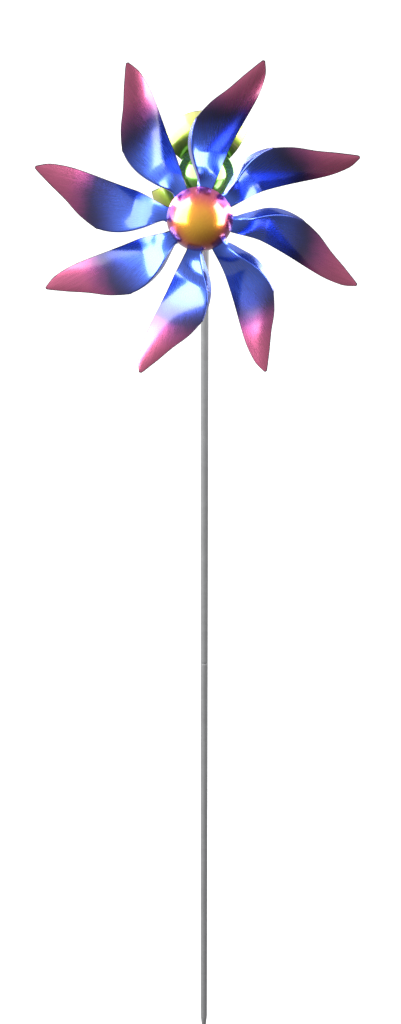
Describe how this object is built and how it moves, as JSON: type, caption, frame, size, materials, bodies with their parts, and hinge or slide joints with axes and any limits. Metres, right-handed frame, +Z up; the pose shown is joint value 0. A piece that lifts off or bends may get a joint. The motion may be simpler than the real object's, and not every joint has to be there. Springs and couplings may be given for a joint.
{
  "type": "wind spinner",
  "caption": "Garden wind spinner on a ground pole: a curled-blade flower rotor and a green two-leaf rotor turning on one fixed axle.",
  "frame": {"origin": "the tip of the ground spike, on the pole's axis", "axes": "+Z up along the pole, -Y the way the flower faces, along the axle"},
  "size_m": [0.3579, 0.265, 1.5427],
  "materials": {
    "blade_lacquer": "translucent metallic lacquer fading from cobalt blue at the root through violet to raspberry pink at the tip",
    "dome_lacquer": "glossy metallic lacquer, orange centre fading to a magenta rim",
    "leaf_lacquer": "glossy yellow-green metallic lacquer",
    "pole_steel": "galvanised steel tube, satin",
    "fastener_zinc": "bright zinc plate",
    "bush_plastic": "black bearing plastic"
  },
  "bodies": {
    "stand": {"pole_lower": "pole_steel", "pole_upper": "pole_steel", "pole_joint_pin": "fastener_zinc", "head_fitting": "pole_steel", "axle": "fastener_zinc", "fitting_nut_front": "fastener_zinc", "fitting_nut_rear": "fastener_zinc", "rear_thrust_washer": "fastener_zinc", "front_thrust_washer": "fastener_zinc", "front_stop_nut": "fastener_zinc", "front_end_washer": "fastener_zinc", "front_end_nut": "fastener_zinc", "rear_end_washer": "fastener_zinc", "rear_cap_nut": "fastener_zinc"},
    "flower_rotor": {"front_hub_dome": "dome_lacquer", "front_hub_plate": "fastener_zinc", "front_clamp_disc": "fastener_zinc", "front_bush": "bush_plastic", "front_blade_1": "blade_lacquer", "front_blade_2": "blade_lacquer", "front_blade_3": "blade_lacquer", "front_blade_4": "blade_lacquer", "front_blade_5": "blade_lacquer", "front_blade_6": "blade_lacquer", "front_blade_7": "blade_lacquer", "front_blade_8": "blade_lacquer", "front_rivet_1": "fastener_zinc", "front_rivet_2": "fastener_zinc", "front_rivet_3": "fastener_zinc", "front_rivet_4": "fastener_zinc", "front_rivet_5": "fastener_zinc", "front_rivet_6": "fastener_zinc", "front_rivet_7": "fastener_zinc", "front_rivet_8": "fastener_zinc"},
    "leaf_rotor": {"ball_front_shell": "leaf_lacquer", "ball_rear_shell": "leaf_lacquer", "rear_bush": "bush_plastic", "leaf_plate": "leaf_lacquer", "rear_leaf_1": "leaf_lacquer", "rear_leaf_2": "leaf_lacquer", "leaf_rivet_1": "fastener_zinc", "leaf_rivet_2": "fastener_zinc", "leaf_rivet_3": "fastener_zinc", "leaf_rivet_4": "fastener_zinc"}
  },
  "joints": [
    {"name": "flower_spin", "type": "hinge", "parent": "stand", "child": "flower_rotor", "pos_m": [0, -0.16, 1.365], "axis": [0, -1, 0], "continuous": true},
    {"name": "leaf_spin", "type": "hinge", "parent": "stand", "child": "leaf_rotor", "pos_m": [0, 0.0405, 1.365], "axis": [0, -1, 0], "continuous": true}
  ]
}
